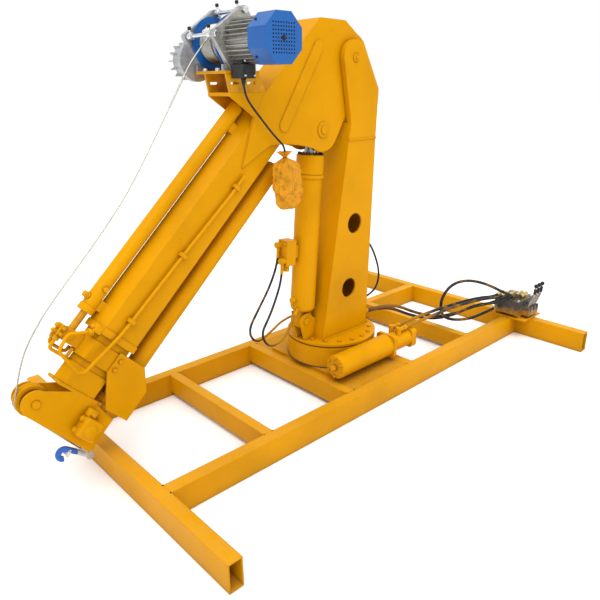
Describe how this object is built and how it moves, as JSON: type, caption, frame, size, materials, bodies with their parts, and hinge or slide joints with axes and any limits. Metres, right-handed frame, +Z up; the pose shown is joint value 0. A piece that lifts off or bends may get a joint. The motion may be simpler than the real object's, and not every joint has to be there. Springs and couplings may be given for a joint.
{
  "type": "knuckle boom crane",
  "caption": "Slewing crane on a welded tube frame, with a folding telescopic boom of six-sided sections, a lift cylinder, a rope winch and a hook.",
  "frame": {"origin": "on the ground under the slew axis", "axes": "+Z up along the slew axis, the boom points along -X at rest, +Y is the far side in the picture"},
  "size_m": [3.1135, 1.78, 1.8628],
  "materials": {
    "yellow_paint": "gloss",
    "blue_paint": "gloss",
    "steel": "machined",
    "zinc": "zinc plated",
    "chrome_rod": "polished",
    "rope_wire": "stranded",
    "cast_grey": "cast",
    "motor_case": "cast",
    "black_plastic": "matte",
    "pad_plastic": "matte",
    "hose_rubber": "matte",
    "lever_steel": "plated",
    "bag_plastic": "film"
  },
  "bodies": {
    "base": {"cross_beams": "yellow_paint", "side_rails": "yellow_paint", "cross_members": "yellow_paint", "deck_plate": "yellow_paint", "slew_pad": "yellow_paint", "slew_housing": "yellow_paint", "worm_cap": "yellow_paint", "slew_motor": "yellow_paint", "valve_bracket": "yellow_paint", "valve_bank": "cast_grey", "slew_hoses": "hose_rubber", "lift_hoses": "hose_rubber"},
    "worm": {"worm": "steel"},
    "slew_lever": {"slew_lever": "lever_steel"},
    "luff_lever": {"luff_lever": "lever_steel"},
    "extend_lever": {"extend_lever": "lever_steel"},
    "column": {"slew_ring": "steel", "column_flange": "yellow_paint", "flange_bolts": "yellow_paint", "column_post": "yellow_paint", "column_ears": "yellow_paint", "lift_clevis": "yellow_paint", "column_pins": "yellow_paint", "column_hoses": "hose_rubber"},
    "lift_barrel": {"lift_barrel": "yellow_paint", "lift_gland": "yellow_paint", "lift_valve": "yellow_paint"},
    "lift_rod": {"lift_rod": "chrome_rod"},
    "boom": {"outer_section": "yellow_paint", "outer_wear_pad": "pad_plastic", "root_plates": "yellow_paint", "winch_shelf": "yellow_paint", "winch_frame": "yellow_paint", "tie_rods": "zinc", "winch_motor": "motor_case", "fan_cover": "blue_paint", "terminal_box": "black_plastic", "gearbox": "cast_grey", "upper_barrel": "yellow_paint", "boom_pipe": "yellow_paint", "pendant_cable": "hose_rubber", "rope": "rope_wire"},
    "middle": {"middle_section": "yellow_paint", "middle_wear_pads": "pad_plastic", "middle_brackets": "yellow_paint", "upper_rod": "chrome_rod", "lower_barrel": "yellow_paint", "tip_pipes": "yellow_paint"},
    "tip": {"inner_section": "yellow_paint", "inner_wear_pad": "pad_plastic", "boom_head": "yellow_paint", "head_pins": "yellow_paint", "lower_rod": "chrome_rod"},
    "drum": {"drum": "blue_paint", "rope_winding": "rope_wire"},
    "fan": {"fan": "black_plastic"},
    "sheave": {"sheave": "yellow_paint"},
    "hook": {"hook": "blue_paint"},
    "hook_latch": {"hook_latch": "zinc"},
    "pendant": {"pendant_bag": "bag_plastic"}
  },
  "joints": [
    {"name": "slew", "type": "hinge", "parent": "base", "child": "column", "pos_m": [0, 0, 0.2], "axis": [0, 0, 1], "range_deg": [-140, 140], "deforming": ["lift_hoses"]},
    {"name": "worm_turn", "type": "hinge", "parent": "base", "child": "worm", "pos_m": [0, -0.272, 0.207], "axis": [1, 0, 0], "range_deg": [-8560, 8560]},
    {"name": "luff", "type": "hinge", "parent": "column", "child": "boom", "pos_m": [0.035, 0, 1.681], "axis": [0, 1, 0], "range_deg": [0, 115], "deforming": ["pendant_cable", "column_hoses"]},
    {"name": "lift_swing", "type": "hinge", "parent": "column", "child": "lift_barrel", "pos_m": [-0.226, 0, 0.385], "axis": [0, 1, 0], "range_deg": [-2.6, 0.1]},
    {"name": "lift_stroke", "type": "slide", "parent": "lift_barrel", "child": "lift_rod", "axis": [0.0763, 0, 0.9971], "range_m": [0, 0.6232]},
    {"name": "extend", "type": "slide", "parent": "boom", "child": "tip", "axis": [-0.7278, 0, -0.6858], "range_m": [0, 1.4], "deforming": ["rope"]},
    {"name": "middle_slide", "type": "slide", "parent": "boom", "child": "middle", "axis": [-0.7278, 0, -0.6858], "range_m": [0, 0.701]},
    {"name": "drum_turn", "type": "hinge", "parent": "boom", "child": "drum", "pos_m": [-0.62, 0, 1.727], "axis": [0, 1, 0], "continuous": true},
    {"name": "fan_turn", "type": "hinge", "parent": "boom", "child": "fan", "pos_m": [-0.62, -0.29, 1.727], "axis": [0, 1, 0], "continuous": true},
    {"name": "sheave_turn", "type": "hinge", "parent": "tip", "child": "sheave", "pos_m": [-1.62851, 0, 0.45277], "axis": [0, 1, 0], "continuous": true},
    {"name": "hook_swing", "type": "hinge", "parent": "tip", "child": "hook", "pos_m": [-1.454, -0.03, 0.14], "axis": [0, 1, 0], "range_deg": [-95, 0]},
    {"name": "latch_turn", "type": "hinge", "parent": "hook", "child": "hook_latch", "pos_m": [-1.5317, -0.03, 0.1994], "axis": [0, 1, 0], "range_deg": [0, 25], "stiffness_Nm_per_rad": 0.1},
    {"name": "pendant_hang", "type": "hinge", "parent": "boom", "child": "pendant", "pos_m": [-0.433, -0.12, 1.262], "axis": [0, 1, 0], "range_deg": [-115.5, 0.5]},
    {"name": "slew_lever_turn", "type": "hinge", "parent": "base", "child": "slew_lever", "pos_m": [1.276, -0.522, 0.192], "axis": [1, 0, 0], "range_deg": [-18, 18], "stiffness_Nm_per_rad": 4},
    {"name": "luff_lever_turn", "type": "hinge", "parent": "base", "child": "luff_lever", "pos_m": [1.318, -0.522, 0.192], "axis": [1, 0, 0], "range_deg": [-18, 18], "stiffness_Nm_per_rad": 4},
    {"name": "extend_lever_turn", "type": "hinge", "parent": "base", "child": "extend_lever", "pos_m": [1.36, -0.522, 0.192], "axis": [1, 0, 0], "range_deg": [-18, 18], "stiffness_Nm_per_rad": 4}
  ],
  "couplings": [
    {"joint": "worm_turn", "follows": "slew", "ratio": 61},
    {"joint": "lift_swing", "follows": "luff", "ratio": -0.02215},
    {"joint": "lift_stroke", "follows": "luff", "m_per_rad": 0.31025},
    {"joint": "pendant_hang", "follows": "luff", "ratio": -1},
    {"joint": "middle_slide", "follows": "extend", "ratio": 0.5},
    {"joint": "fan_turn", "follows": "drum_turn", "ratio": 24},
    {"joint": "sheave_turn", "follows": "drum_turn", "ratio": 1}
  ]
}
